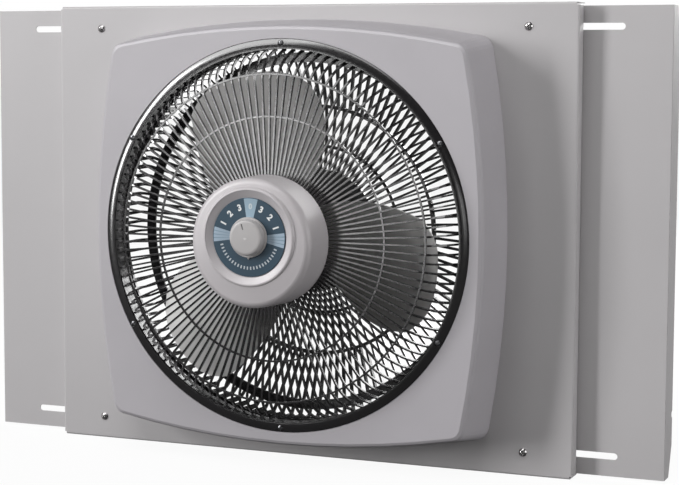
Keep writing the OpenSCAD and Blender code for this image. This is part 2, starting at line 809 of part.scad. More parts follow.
module pod_screw_places() {
    for (i = [0:3]) rotate([0, 0, 45 + 90 * i]) translate([pod_screw_pcr, 0, 0]) children();
}

// A drawn bell: its ears lie at z = 0, its body stands up and its bearing seat is on top.
module bell(rise, end_t) {
    seat_r = bearing_r + bell_t;
    seat_low = rise + bearing_out - bearing_h;
    difference() {
        union() {
            cylinder(r = motor_r, h = rise, $fn = 96);
            motor_screw_places() cylinder(r = motor_screw_d * 1.3, h = bell_t, $fn = 32);
            for (a = [0, 90]) rotate([0, 0, a]) translate([-motor_screw_pcr, -motor_screw_d * 1.3, 0])
                cube([2 * motor_screw_pcr, motor_screw_d * 2.6, bell_t]);
        }
        translate([0, 0, -1]) cylinder(r = stator_r, h = rise + 1 - bell_t, $fn = 96);
        motor_screw_places() translate([0, 0, -1])
            cylinder(d = motor_screw_d + 2 * hole_gap, h = bell_t + 2, $fn = 24);
        for (i = [0:7]) rotate([0, 0, 22.5 + 45 * i]) translate([seat_r + 6, -3, rise - 6])
            cube([motor_r, 6, 12]);
        translate([0, 0, -1]) cylinder(r = bearing_r, h = 2 * rise, $fn = 64);
    }
    difference() {
        translate([0, 0, seat_low])
            cylinder(r = seat_r, h = bearing_h + end_t, $fn = 64);
        translate([0, 0, seat_low - 1]) cylinder(r = bearing_r, h = bearing_h + 1, $fn = 64);
        translate([0, 0, seat_low + bearing_h - 1]) cylinder(r = shaft_r + 1, h = 1.4, $fn = 48);
        if (end_t < 2) translate([0, 0, seat_low]) cylinder(r = shaft_r + 1, h = 2 * bearing_h, $fn = 48);
    }
}

module motor_front_bell() {
    color("#8f9194") on_axis() translate([0, 0, plate_top_z]) bell(bell_top_z - plate_top_z, 2.2);
}

module motor_rear_bell() {
    color("#8f9194") on_axis() translate([0, 0, plate_low_z]) mirror([0, 0, 1])
        bell(plate_low_z - bell_low_z, bell_t);
}

module bearing() {
    flat_ring(shaft_r + shaft_clear, bearing_r, 0, bearing_h);
}

module front_bearing() {
    color("#a98a52") on_axis() translate([0, 0, front_bearing_z]) bearing();
}

module rear_bearing() {
    color("#a98a52") on_axis() translate([0, 0, rear_bearing_z]) bearing();
}

module stator_core() {
    tooth_gap = 3;
    color("#6f7276") on_axis() difference() {
        flat_ring(stator_bore_r, stator_r, stator_low_z, stator_top_z);
        for (i = [0:11]) rotate([0, 0, 30 * i]) {
            translate([0, -tooth_gap / 2, stator_low_z - 1])
                cube([stator_bore_r + 8, tooth_gap, stator_h + 2]);
            translate([stator_bore_r + 8, 0, stator_low_z - 1])
                cylinder(r = 4.5, h = stator_h + 2, $fn = 32);
        }
    }
}

module stator_coils() {
    coil_h = bell_h - bell_t - 2;
    color("#a5602f") on_axis() for (z = [stator_low_z - coil_h, stator_top_z])
        translate([0, 0, z]) rotate_extrude($fn = 96) translate([stator_bore_r + 4, 0])
            intersection() {
                square([stator_r - stator_bore_r - 8, coil_h]);
                translate([(stator_r - stator_bore_r - 8) / 2, coil_h / 2])
                    circle(r = stator_r - stator_bore_r - 12, $fn = 48);
            }
}

module motor_screws() {
    low = plate_low_z - bell_t - 4;
    color("#8d8d8f") on_axis() motor_screw_places() {
        translate([0, 0, low]) cylinder(d = motor_screw_d, h = plate_top_z + bell_t - low + join,
            $fn = 32);
        translate([0, 0, plate_top_z + bell_t]) cylinder(d = motor_screw_d * 1.9, h = 3, $fn = 32);
        translate([0, 0, plate_low_z - bell_t - 3]) cylinder(d = motor_screw_d * 1.9, h = 3, $fn = 6);
    }
}

// ---------- rotor and fan wheel ----------

module rotor_core() {
    rotor_r = stator_bore_r - air_gap;
    color("#77797c") on_axis() difference() {
        union() {
            translate([0, 0, stator_low_z]) cylinder(r = rotor_r, h = stator_h, $fn = 96);
            translate([0, 0, stator_low_z - 3]) cylinder(r = rotor_r - 2, h = stator_h + 6, $fn = 96);
        }
        translate([0, 0, stator_low_z - 4]) cylinder(r = shaft_r, h = stator_h + 8, $fn = 64);
        for (z = [stator_low_z - 4, stator_top_z + 1])
            translate([0, 0, z]) cylinder(r = rotor_r - 8, h = 3, $fn = 64);
    }
}

module motor_shaft() {
    color("#b9bbbe") on_axis() difference() {
        translate([0, 0, shaft_low_z])
            cylinder(r = shaft_r, h = front_bearing_z + bearing_h - shaft_low_z, $fn = 64);
        translate([0, 2 * shaft_r, pin_z]) rotate([90, 0, 0])
            cylinder(r = pin_r, h = 4 * shaft_r, $fn = 32);
    }
}

module drive_pin() {
    pin_len = 2 * wheel_boss_r - 4;
    color("#c3c5c8") on_axis() translate([0, pin_len / 2, pin_z]) rotate([90, 0, 0])
        cylinder(r = pin_r, h = pin_len, $fn = 32);
}

// Angle of a blade's middle surface; s runs from its front edge to its rear edge.
function blade_angle(r, s) =
    let (u = (r - blade_mid_r) / (0.38 * (blade_r - wheel_hub_r)))
    (26 - 13.5 * u + u * u) * (1 - s) + (-36.5 + 9 * u + 6.5 * u * u) * s;

// Height of a blade's middle surface.
function blade_height(r, s) =
    let (
        near_hub = max(0, 1 - (r - wheel_hub_r) / 45),
        near_tip = max(0, (r - blade_rise_r) / (blade_r - blade_rise_r)),
        front = blade_front_z - (blade_front_z - wheel_hub_top_z + blade_t) * near_hub * near_hub,
        rear = blade_rear_z + blade_rear_rise * near_tip * near_tip
            + 2 * blade_t * near_hub * near_hub
    )
    front + (rear - front) * s + blade_camber * sin(180 * s);

// Tip radius along the blade, with rounded corners.
function blade_tip(s) = blade_r - 16 * pow(abs(2 * s - 1), 5);

function blade_mid(i, j) =
    let (
        s = 0.5 - 0.5 * cos(180 * j / blade_cols),
        root = wheel_hub_r - 1.5,
        r = root + (blade_tip(s) - root) * i / blade_rows,
        a = blade_angle(r, s)
    )
    [r * cos(a), r * sin(a), blade_height(r, s)];

// Unit vector across the blade at a grid point.
function blade_normal(i, j) =
    let (
        i0 = max(0, i - 1), i1 = min(blade_rows, i + 1),
        j0 = max(0, j - 1), j1 = min(blade_cols, j + 1),
        n = cross(blade_mid(i1, j) - blade_mid(i0, j), blade_mid(i, j1) - blade_mid(i, j0))
    )
    n / norm(n);

// Half thickness of the blade, thin at its edges.
function blade_half(j) = blade_t * (0.3 + 0.2 * sin(180 * j / blade_cols));

module blade() {
    row = blade_cols + 1;
    side = (blade_rows + 1) * row;
    grid = [for (k = [-1, 1]) for (i = [0:blade_rows]) for (j = [0:blade_cols])
        blade_mid(i, j) + k * blade_half(j) * blade_normal(i, j)];
    skins = [for (i = [0:blade_rows - 1]) for (j = [0:blade_cols - 1])
        let (a = i * row + j, b = a + 1, c = a + row, d = c + 1)
        each [[a, c, b], [b, c, d], [side + a, side + b, side + c], [side + b, side + d, side + c]]];
    ends = [for (j = [0:blade_cols - 1]) let (a = j, b = j + 1, c = blade_rows * row + j, d = c + 1)
        each [[a, b, side + a], [b, side + b, side + a], [c, side + c, d], [d, side + c, side + d]]];
    edges = [for (i = [0:blade_rows - 1])
        let (a = i * row, b = a + row, c = a + blade_cols, d = c + row)
        each [[a, side + a, b], [b, side + a, side + b], [c, d, side + c], [d, side + d, side + c]]];
    polyhedron(grid, concat(skins, ends, edges));
}

module fan_wheel() {
    wall = 3;
    color("#8b8b8d") on_axis() difference() {
        union() {
            for (i = [0:blade_count - 1])
                rotate([0, 0, blade_turn + i * 360 / blade_count]) blade();
            flat_ring(wheel_hub_r - wall, wheel_hub_r, wheel_hub_low_z, wheel_hub_top_z);
            translate([0, 0, wheel_hub_top_z - wall]) cylinder(r = wheel_hub_r - join, h = wall, $fn = 96);
            translate([0, 0, wheel_nut_top_z])
                cylinder(r = wheel_boss_r, h = wheel_hub_top_z - wheel_nut_top_z, $fn = 64);
            for (i = [0:5]) rotate([0, 0, 60 * i])
                translate([wheel_boss_r - 1, -1, wheel_hub_top_z - 22])
                    cube([wheel_hub_r - wheel_boss_r - 1, 2, 21]);
        }
        translate([0, 0, wheel_hub_low_z - 1]) cylinder(r = wheel_bore_r, h = wheel_hub_h + 2, $fn = 64);
        translate([-pin_r - 0.1, -wheel_boss_r + 1, pin_z - pin_r])
            cube([2 * pin_r + 0.2, 2 * wheel_boss_r - 2, wheel_hub_h]);
    }
}

module wheel_nut() {
    nut_h = 13;
    grip_r = wheel_boss_r + 1;
    color("#7d7d80") on_axis() translate([0, 0, wheel_nut_top_z]) mirror([0, 0, 1]) difference() {
        rotate_extrude($fn = 64) polygon([
            [0, 0], [grip_r, 0], [grip_r - 0.6, nut_h * 0.6], [grip_r * 0.55, nut_h], [0, nut_h]
        ]);
        translate([0, 0, -1]) cylinder(r = wheel_bore_r, h = 11, $fn = 64);
        for (i = [0:5]) rotate([0, 0, 60 * i]) translate([grip_r + 1.4, 0, -1])
            cylinder(r = 2.6, h = nut_h + 2, $fn = 24);
    }
}

// ---------- hub pod ----------

// Outer line of the pod from its foot over the shoulder to the top of its face. An inset moves
// it in and draws its foot down.
function pod_line(inset) =
    let (
        c = [pod_shoulder_r - pod_round, pod_shoulder_z - pod_round],
        r = pod_round - inset
    )
    concat(
        [[pod_base_r - inset, pod_low_z - inset]],
        [for (a = [0:15:75]) [c[0] + r * cos(a), c[1] + r * sin(a)]],
        [[face_top_r, pod_rim_z - 0.6 - inset]]
    );

// The pod's form as a solid.
module pod_form(inset) {
    rotate_extrude($fn = 120) polygon(concat(
        pod_line(inset), [[0, pod_rim_z - 0.6 - inset], [0, pod_low_z - inset]]
    ));
}

// Places a shape on the dial's own axis, above the fan's axis.
module at_dial() {
    translate([0, dial_lift, 0]) children();
}

// The cup round the dial: its rim stands a little proud of the pod's sloping face.
module dial_cup() {
    floor_r = dial_r + pod_t;
    rotate_extrude($fn = 120) polygon([
        [0, floor_low_z], [floor_r, floor_low_z], [recess_rim_r + pod_t + 1, pod_rim_z - 5],
        [recess_rim_r + 1.6, pod_rim_z - 1.2], [recess_rim_r + 0.5, pod_rim_z - 0.2],
        [recess_rim_r - 0.5, pod_rim_z], [0, pod_rim_z]
    ]);
}

// The space in the cup, with a sloping wall round the dial.
module dial_recess() {
    rotate_extrude($fn = 120) polygon([
        [0, floor_top_z], [dial_r + slide_gap, floor_top_z], [recess_rim_r - 2, pod_rim_z - 0.7],
        [recess_rim_r - 0.9, pod_rim_z + 0.2], [recess_rim_r - 0.9, pod_rim_z + 1], [0, pod_rim_z + 1]
    ]);
}

module control_pod() {
    rib_h = 8;
    bore_h = pod_screw_len - (plate_top_z - plate_low_z) + 5;
    color("#c6c0c0") on_axis() difference() {
        union() {
            difference() {
                pod_form(0);
                pod_form(pod_t);
            }
            at_dial() dial_cup();
            intersection() {
                pod_screw_places() translate([0, 0, plate_top_z])
                    cylinder(d = pod_screw_d + 5, h = pod_wall_h, $fn = 32);
                pod_form(join);
            }
            at_dial() for (s = [-1, 1])
                translate([capacitor_x, s * (capacitor_size[1] / 2 + 1) - 1, floor_low_z - rib_h])
                    cube([capacitor_size[0], 2, rib_h + join]);
        }
        at_dial() dial_recess();
        at_dial() translate([0, 0, floor_low_z - 1])
            cylinder(r = bush_r + slide_gap, h = pod_t + 2, $fn = 48);
        pod_screw_places() translate([0, 0, plate_top_z - 1])
            cylinder(d = pod_screw_d + 0.1, h = bore_h, $fn = 32);
    }
}

module pod_screws() {
    color("#8d8d8f") on_axis() pod_screw_places() {
        translate([0, 0, plate_low_z - 2.4]) cylinder(d = pod_screw_d * 2, h = 2.4, $fn = 32);
        translate([0, 0, plate_low_z - join]) cylinder(d = pod_screw_d, h = pod_screw_len, $fn = 32);
    }
}

module capacitor() {
    color("#4b5055") on_axis() at_dial()
        translate([capacitor_x, -capacitor_size[1] / 2, floor_low_z - capacitor_size[2]])
            cube(capacitor_size);
}

module dial_plate() {
    color("#3e5462") on_axis() at_dial() flat_ring(dial_hole_r, dial_r, floor_top_z, dial_z);
}

module switch_body() {
    color("#55585c") on_axis() at_dial() difference() {
        union() {
            translate([-switch_side / 2, -switch_side / 2, floor_low_z - switch_h])
                cube([switch_side, switch_side, switch_h]);
            translate([0, 0, floor_low_z - 1])
                cylinder(r = bush_r, h = bush_top_z - floor_low_z + 1, $fn = 48);
        }
        translate([0, 0, floor_low_z - switch_h + 4])
            cylinder(r = switch_shaft_r + 0.04, h = switch_h + 20, $fn = 48);
    }
}

module switch_nut() {
    color("#b4b6b9") on_axis() at_dial() translate([0, 0, floor_top_z]) difference() {
        cylinder(r = switch_nut_r, h = switch_nut_h, $fn = 6);
        translate([0, 0, -1]) cylinder(r = bush_r + 0.05, h = switch_nut_h + 2, $fn = 48);
    }
}

module switch_shaft() {
    low = floor_low_z - switch_h + 4.5;
    color("#c3c5c8") on_axis() at_dial() translate([0, 0, low])
        cylinder(r = switch_shaft_r, h = knob_top_z - knob_cap_t - low, $fn = 48);
}

module knob() {
    flange_h = 2.2;
    edge = 2.5;
    color("#bfb8b2") on_axis() at_dial() difference() {
        union() {
            rotate_extrude($fn = 96) polygon(concat(
                [[0, knob_low_z], [knob_flange_r, knob_low_z],
                    [knob_flange_r, knob_low_z + flange_h - 0.6],
                    [knob_flange_r - 0.6, knob_low_z + flange_h],
                    [knob_r + 0.6, knob_low_z + flange_h]],
                [for (a = [0:15:75]) [knob_r - edge + edge * cos(a), knob_top_z - edge + edge * sin(a)]],
                [[knob_r - edge - 1, knob_top_z + 0.2], [0, knob_top_z + 0.6]]
            ));
            translate([0, -knob_flange_r + 1, knob_low_z]) linear_extrude(flange_h - 0.4)
                polygon([[-2, 0], [0, -3.2], [2, 0]]);
        }
        translate([0, 0, knob_low_z - 1])
            cylinder(r = switch_nut_r + 2, h = knob_web_z - knob_low_z + 1, $fn = 64);
        translate([0, 0, knob_low_z]) cylinder(r = switch_shaft_r, h = knob_h - knob_cap_t, $fn = 48);
        rotate([0, 0, mark_turn]) translate([-0.6, knob_r * 0.48, knob_top_z - 0.5])
            cube([1.2, knob_r * 0.34, 2]);
    }
}

front_panel();
left_side_panel();
right_side_panel();
bezel();
bezel_screws();
front_guard();
rear_guard();
guard_screws();
guard_nuts();
guide_screws();
guide_spacers();
clamp_washers();
clamp_nuts();
cord_gland();
control_pod();
pod_screws();
dial_plate();
switch_body();
switch_nut();
switch_shaft();
knob();
capacitor();
motor_front_bell();
motor_rear_bell();
stator_core();
stator_coils();
front_bearing();
rear_bearing();
motor_screws();
rotor_core();
motor_shaft();
fan_wheel();
drive_pin();
wheel_nut();
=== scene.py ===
"""Looks for the window fan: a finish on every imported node, the dial's print, studio and camera.

Everything is in metres in the part's frame: +X right, +Y out of the window, +Z up.
"""

import json
import math

import bpy
from mathutils import Matrix, Vector


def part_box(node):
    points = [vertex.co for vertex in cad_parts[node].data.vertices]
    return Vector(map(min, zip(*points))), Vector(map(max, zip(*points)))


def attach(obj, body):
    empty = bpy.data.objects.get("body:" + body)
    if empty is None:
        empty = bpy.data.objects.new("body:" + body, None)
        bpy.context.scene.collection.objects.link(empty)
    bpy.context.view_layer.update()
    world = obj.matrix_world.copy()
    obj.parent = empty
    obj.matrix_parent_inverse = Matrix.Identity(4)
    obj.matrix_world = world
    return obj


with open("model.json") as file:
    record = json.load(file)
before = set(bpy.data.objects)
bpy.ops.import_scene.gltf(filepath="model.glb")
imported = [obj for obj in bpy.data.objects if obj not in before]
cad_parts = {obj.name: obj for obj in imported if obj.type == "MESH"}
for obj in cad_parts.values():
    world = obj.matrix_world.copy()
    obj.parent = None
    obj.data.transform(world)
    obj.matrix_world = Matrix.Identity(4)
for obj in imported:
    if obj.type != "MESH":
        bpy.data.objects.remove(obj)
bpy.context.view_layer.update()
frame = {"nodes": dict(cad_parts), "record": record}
nodes = frame["nodes"]

# ---------- places taken from the frame ----------

DIAL_LOW, DIAL_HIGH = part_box("dial_plate")
DIAL_CENTRE = Vector(((DIAL_LOW.x + DIAL_HIGH.x) / 2, DIAL_LOW.y, (DIAL_LOW.z + DIAL_HIGH.z) / 2))
DIAL_RADIUS = (DIAL_HIGH.x - DIAL_LOW.x) / 2
KNOB_LOW, KNOB_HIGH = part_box("knob")
KNOB_RADIUS = (KNOB_HIGH.x - KNOB_LOW.x) / 2

# ---------- camera ----------

FRAME_WIDTH_PX = 679
FOCAL_PX = 1801.6
CAMERA_YAW = math.radians(22.30)
CAMERA_PITCH = math.radians(5.44)
CAMERA_ROLL = math.radians(0.25)
CAMERA_PLACE = Vector((0.8827, -2.0545, 0.4792))
NEAR_CLIP = 0.05


def make_camera():
    """The photograph's view: from the room, right of the fan and a little above its axis."""
    data = bpy.data.cameras.new("camera")
    data.sensor_fit = "HORIZONTAL"
    data.lens = FOCAL_PX / FRAME_WIDTH_PX * data.sensor_width
    data.clip_start = NEAR_CLIP
    camera = bpy.data.objects.new("camera", data)
    ahead = Vector((
        -math.sin(CAMERA_YAW) * math.cos(CAMERA_PITCH),
        math.cos(CAMERA_YAW) * math.cos(CAMERA_PITCH),
        -math.sin(CAMERA_PITCH),
    ))
    level = Vector((math.cos(CAMERA_YAW), math.sin(CAMERA_YAW), 0))
    upright = level.cross(ahead)
    right = math.cos(CAMERA_ROLL) * level + math.sin(CAMERA_ROLL) * upright
    up = right.cross(ahead)
    turn = Matrix((right, up, -ahead)).transposed().to_4x4()
    camera.matrix_world = Matrix.Translation(CAMERA_PLACE) @ turn
    bpy.context.scene.collection.objects.link(camera)
    bpy.context.scene.camera = camera


# ---------- material building ----------


class Finish:
    """A node material in the making: one Principled shader and helpers that feed it."""

    def __init__(self, name, colour, roughness, metallic=0.0, specular=0.5):
        self.material = bpy.data.materials.new(name)
        self.material.use_nodes = True
        self.material.diffuse_color = (*colour, 1)
        self.tree = self.material.node_tree
        self.shader = self.tree.nodes["Principled BSDF"]
        self.shader.inputs["Base Color"].default_value = (*colour, 1)
        self.shader.inputs["Roughness"].default_value = roughness
        self.shader.inputs["Metallic"].default_value = metallic
        self.shader.inputs["Specular IOR Level"].default_value = specular
        self.colour = colour
        self.place = self.tree.nodes.new("ShaderNodeTexCoord").outputs["Object"]
        self.normal = None

    def node(self, kind, **settings):
        made = self.tree.nodes.new(kind)
        for key, value in settings.items():
            setattr(made, key, value)
        return made

    def link(self, output, target):
        self.tree.links.new(output, target)

    def stretched(self, scale):
        """Object coordinates, scaled differently along each axis."""
        mapping = self.node("ShaderNodeMapping")
        mapping.inputs["Scale"].default_value = scale
        self.link(self.place, mapping.inputs["Vector"])
        return mapping.outputs["Vector"]

    def noise(self, scale, detail=2, stretch=None):
        """Soft noise in object space. A larger scale makes it finer."""
        texture = self.node("ShaderNodeTexNoise")
        texture.inputs["Scale"].default_value = scale
        texture.inputs["Detail"].default_value = detail
        self.link(self.stretched(stretch) if stretch else self.place, texture.inputs["Vector"])
        return texture.outputs["Fac"]

    def spread(self, value, low, high, start=0.3, end=0.7):
        """Maps a value from between start and end, where most noise lies, to low and high."""
        span = self.node("ShaderNodeMapRange")
        span.inputs["From Min"].default_value = start
        span.inputs["From Max"].default_value = end
        span.inputs["To Min"].default_value = low
        span.inputs["To Max"].default_value = high
        self.link(value, span.inputs["Value"])
        return span.outputs["Result"]

    def vary_colour(self, value, dark, light):
        """Mixes the base colour between two multiples of itself, as value goes from 0 to 1."""
        mix = self.node("ShaderNodeMix", data_type="RGBA")
        mix.inputs["A"].default_value = (*[c * dark for c in self.colour], 1)
        mix.inputs["B"].default_value = (*[min(1, c * light) for c in self.colour], 1)
        self.link(value, mix.inputs["Factor"])
        self.link(mix.outputs["Result"], self.shader.inputs["Base Color"])

    def mottle(self, scale, detail, dark, light):
        """Varies the colour in soft clouds."""
        self.vary_colour(self.spread(self.noise(scale, detail), 0, 1), dark, light)

    def vary_roughness(self, value, low, high):
        self.link(self.spread(value, low, high), self.shader.inputs["Roughness"])

    def bump(self, value, depth, strength=1.0):
        """Adds a relief whose full height is depth, in metres."""
        relief = self.node("ShaderNodeBump")
        relief.inputs["Distance"].default_value = depth
        relief.inputs["Strength"].default_value = strength
        self.link(value, relief.inputs["Height"])
        if self.normal:
            self.link(self.normal, relief.inputs["Normal"])
        self.normal = relief.outputs["Normal"]
        self.link(self.normal, self.shader.inputs["Normal"])

    def round_edges(self, radius):
        """Lets sharp edges catch the light as if they were slightly rounded."""
        bevel = self.node("ShaderNodeBevel", samples=4)
        bevel.inputs["Radius"].default_value = radius
        self.normal = bevel.outputs["Normal"]
        self.link(self.normal, self.shader.inputs["Normal"])


# ---------- finishes ----------

# Grain is the scale of the spark grain, and depth its height in metres.
PLASTICS = {
    "bezel_plastic": dict(colour=(0.425, 0.407, 0.431), roughness=0.42, grain=1600, depth=0.00003),
    "pod_plastic": dict(colour=(0.49, 0.464, 0.477), roughness=0.40, grain=2200, depth=0.00002),
    "knob_plastic": dict(colour=(0.40, 0.385, 0.385), roughness=0.40, grain=2600, depth=0.000002,
                         edge=0.0004),
    "guard_plastic": dict(colour=(0.012, 0.011, 0.012), roughness=0.19, grain=1500,
                          depth=0.000004, edge=0.0004, specular=0.9),
    "blade_plastic": dict(colour=(0.56, 0.55, 0.545), roughness=0.30, grain=1200, depth=0.000012),
    "dial_print": dict(colour=(0.024, 0.056, 0.086), roughness=0.42, grain=3000, depth=0.000005,
                       edge=0.0002, specular=0.25),
    "dark_plastic": dict(colour=(0.045, 0.05, 0.055), roughness=0.5, grain=1400, depth=0.00004),
}
# Streaks are how much finer the brushing is along each axis.
METALS = {
    "screw_steel": dict(colour=(0.42, 0.41, 0.41), roughness=0.24, streaks=(1, 1, 1)),
    "dark_steel": dict(colour=(0.11, 0.11, 0.115), roughness=0.30, streaks=(1, 1, 1)),
    "bright_steel": dict(colour=(0.60, 0.60, 0.61), roughness=0.32, streaks=(1, 8, 1)),
    "motor_steel": dict(colour=(0.46, 0.47, 0.48), roughness=0.36, streaks=(1, 12, 1)),
    "bronze": dict(colour=(0.46, 0.30, 0.12), roughness=0.42, streaks=(1, 8, 1)),
}
# Nodes whose finish isn't that of their slot: the guard's screws are blackened.
OWN_FINISH = {"guard_screws": "dark_steel"}


def moulded(name, colour, roughness, grain, depth, edge=0.0006, specular=0.5):
    """Injection-moulded plastic: fine spark grain, faint clouds of colour and softened edges."""
    finish = Finish(name, colour, roughness, specular=specular)
    finish.round_edges(edge)
    finish.mottle(9, 3, 0.97, 1.03)
    finish.vary_roughness(finish.noise(260, 3), roughness - 0.03, roughness + 0.03)
    finish.bump(finish.noise(grain), depth)
    return finish.material


def metal(name, colour, roughness, streaks):
    """Turned or drawn metal: fine streaks, smudges and softened edges."""
    finish = Finish(name, colour, roughness, metallic=1.0)
    finish.round_edges(0.0003)
    brushed = finish.noise(300, 3, stretch=streaks)
    finish.mottle(60, 4, 0.82, 1.05)
    finish.vary_roughness(brushed, roughness - 0.08, roughness + 0.1)
    finish.bump(brushed, 0.00001, 0.6)
    return finish.material


def panel_paint():
    """Fine-textured grey enamel on sheet steel, with a faint orange peel."""
    finish = Finish("panel_paint", (0.452, 0.438, 0.445), 0.46, specular=0.45)
    finish.round_edges(0.0007)
    finish.mottle(5, 4, 0.975, 1.02)
    finish.vary_roughness(finish.noise(180, 3), 0.40, 0.52)
    finish.bump(finish.noise(420), 0.00005, 0.5)
    finish.bump(finish.noise(1900), 0.00002, 0.6)
    return finish.material


def core_steel():
    """Stacked laminations: thin lines round the core, a millimetre apart."""
    finish = Finish("core_steel", (0.20, 0.205, 0.21), 0.5, metallic=0.8)
    bands = finish.node("ShaderNodeTexWave", wave_type="BANDS", bands_direction="Y")
    bands.inputs["Scale"].default_value = 320
    finish.link(finish.place, bands.inputs["Vector"])
    finish.vary_colour(bands.outputs["Fac"], 0.6, 1.1)
    finish.bump(bands.outputs["Fac"], 0.00008, 0.6)
    return finish.material


def copper_wire():
    """Wound enamelled wire: rows of fine turns."""
    finish = Finish("copper_wire", (0.45, 0.17, 0.06), 0.32, metallic=0.9)
    turns = finish.node("ShaderNodeTexWave", wave_type="RINGS", rings_direction="Y")
    turns.inputs["Scale"].default_value = 160
    turns.inputs["Distortion"].default_value = 1.5
    finish.link(finish.place, turns.inputs["Vector"])
    finish.vary_colour(turns.outputs["Fac"], 0.55, 1.15)
    finish.bump(turns.outputs["Fac"], 0.0002, 0.7)
    return finish.material


def black_rubber():
    """Dull rubber with a coarse skin."""
    finish = Finish("black_rubber", (0.02, 0.02, 0.02), 0.62)
    finish.round_edges(0.0005)
    finish.mottle(40, 4, 0.8, 1.4)
    finish.vary_roughness(finish.noise(300, 3), 0.55, 0.72)
    finish.bump(finish.noise(900, 3), 0.00005)
    return finish.material


def ink(name, colour, fade_and_shade=None):
    """Screen-printed ink, optionally with two multiples of its colour: at the knob and at the
    edge. A colour darker at the knob paints the knob's shade on the print.
    """
    finish = Finish(name, colour, 0.45)
    if fade_and_shade:
        reach = finish.node("ShaderNodeVectorMath", operation="DISTANCE")
        finish.link(finish.place, reach.inputs[0])
        reach.inputs[1].default_value = DIAL_CENTRE
        outwards = finish.spread(reach.outputs["Value"], 0, 1, KNOB_RADIUS, DIAL_RADIUS)
        finish.vary_colour(outwards, *fade_and_shade)
    else:
        finish.mottle(900, 2, 0.95, 1.03)
    finish.bump(finish.noise(3000), 0.000004)
    return finish.material


def dress_nodes():
    """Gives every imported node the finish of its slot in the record, or its own."""
    finishes = {name: moulded(name, **look) for name, look in PLASTICS.items()}
    finishes |= {name: metal(name, **look) for name, look in METALS.items()}
    finishes |= {
        "panel_paint": panel_paint(),
        "core_steel": core_steel(),
        "copper_wire": copper_wire(),
        "black_rubber": black_rubber(),
    }
    for part in frame["record"]["subparts"]:
        mesh = nodes[part["node"]].data
        mesh.materials.clear()
        mesh.materials.append(finishes[OWN_FINISH.get(part["node"], part["material_slot"])])


# ---------- the dial's print and the knob's mark ----------

# Angles on the dial run clockwise from the print's top, as seen from the room, and the whole
# print is turned clockwise by PRINT_TURN. A lift is the print's height above the dial plate.
DETENT = math.radians(22.5)
PRINT_TURN = math.radians(3)
PRINT_LIFT = 0.00012
ARC_STEP = math.radians(2)
SECTOR_HALF = DETENT / 2
SECTOR_INNER = KNOB_RADIUS * 0.75
SECTOR_OUTER = DIAL_RADIUS - 0.0008
LINE_HALF = math.radians(0.7)
LINE_LIFT = PRINT_LIFT * 1.3
NUMBER_RADIUS = DIAL_RADIUS * 0.775
NUMBER_SIZE = 0.0100
NUMBER_WEIGHT = 0.042
NUMBER_LIFT = PRINT_LIFT * 1.5
ZERO_SIZE = NUMBER_SIZE * 0.85
DASH_COUNT = 23
DASH_REACH = math.radians(71.5)
DASH_HALF = math.radians(1.3)
DASH_INNER = DIAL_RADIUS * 0.74
DASH_OUTER = DIAL_RADIUS * 0.82

# The mark is an inlay, sunk below the knob's front and turned anticlockwise by MARK_TURN.
MARK_TURN = math.radians(16)
MARK_HALF_WIDTH = 0.0007
MARK_LOW = KNOB_RADIUS * 0.42
MARK_HIGH = KNOB_RADIUS * 0.71
MARK_SINK = 0.0009
MARK_DEPTH = 0.0006


def dial_point(angle, radius, lift=0.0):
    """A point on the dial, at an angle from the print's top."""
    return Vector((
        DIAL_CENTRE.x + radius * math.sin(angle + PRINT_TURN),
        DIAL_CENTRE.y - lift,
        DIAL_CENTRE.z + radius * math.cos(angle + PRINT_TURN),
    ))


def add_piece(name, mesh, material, body="housing"):
    """Puts a mesh in the scene as a piece that rides on a body."""
    piece = bpy.data.objects.new(name, mesh)
    bpy.context.scene.collection.objects.link(piece)
    mesh.materials.append(material)
    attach(piece, body)


def mesh_of(name, corners, faces):
    mesh = bpy.data.meshes.new(name)
    mesh.from_pydata(corners, [], faces)
    return mesh


def sector_mesh(name, middle, half_angle, inner, outer, lift):
    """A thin raised sector of the dial, with a closed rim."""
    steps = max(2, round(half_angle * 2 / ARC_STEP))
    angles = [middle - half_angle + 2 * half_angle * i / steps for i in range(steps + 1)]
    corners = [
        tuple(dial_point(angle, radius, height))
        for height in (0.0, lift) for angle in angles for radius in (inner, outer)
    ]
    layer = 2 * len(angles)
    end = layer - 2
    faces = []
    for a in range(0, end, 2):
        faces.append((a, a + 1, a + 3, a + 2))
        faces.append((layer + a, layer + a + 2, layer + a + 3, layer + a + 1))
        faces.append((a, a + 2, layer + a + 2, layer + a))
        faces.append((a + 1, layer + a + 1, layer + a + 3, a + 3))
    faces.append((0, layer, layer + 1, 1))
    faces.append((end, end + 1, layer + end + 1, layer + end))
    return mesh_of(name, corners, faces)


def joined(name, meshes):
    """One mesh of several."""
    corners, faces = [], []
    for mesh in meshes:
        start = len(corners)
        corners += [tuple(v.co) for v in mesh.vertices]
        faces += [tuple(start + i for i in p.vertices) for p in mesh.polygons]
    return mesh_of(name, corners, faces)


def numeral_mesh(text, angle, size):
    """A printed numeral that stands upright along the dial's radius."""
    curve = bpy.data.curves.new("numeral", "FONT")
    curve.body = text
    curve.size = size
    curve.align_x = "CENTER"
    curve.align_y = "CENTER"
    curve.extrude = NUMBER_LIFT / 2
    curve.offset = size * NUMBER_WEIGHT
    curve.resolution_u = 4
    holder = bpy.data.objects.new("numeral", curve)
    bpy.context.scene.collection.objects.link(holder)
    bpy.context.view_layer.update()
    solid = holder.evaluated_get(bpy.context.evaluated_depsgraph_get())
    mesh = bpy.data.meshes.new_from_object(solid)
    bpy.data.objects.remove(holder)
    facing = Matrix.Rotation(math.radians(90), 4, "X")
    turned = Matrix.Rotation(angle + PRINT_TURN, 4, "Y")
    place = Matrix.Translation(dial_point(angle, NUMBER_RADIUS, NUMBER_LIFT / 2))
    mesh.transform(place @ turned @ facing)
    return mesh


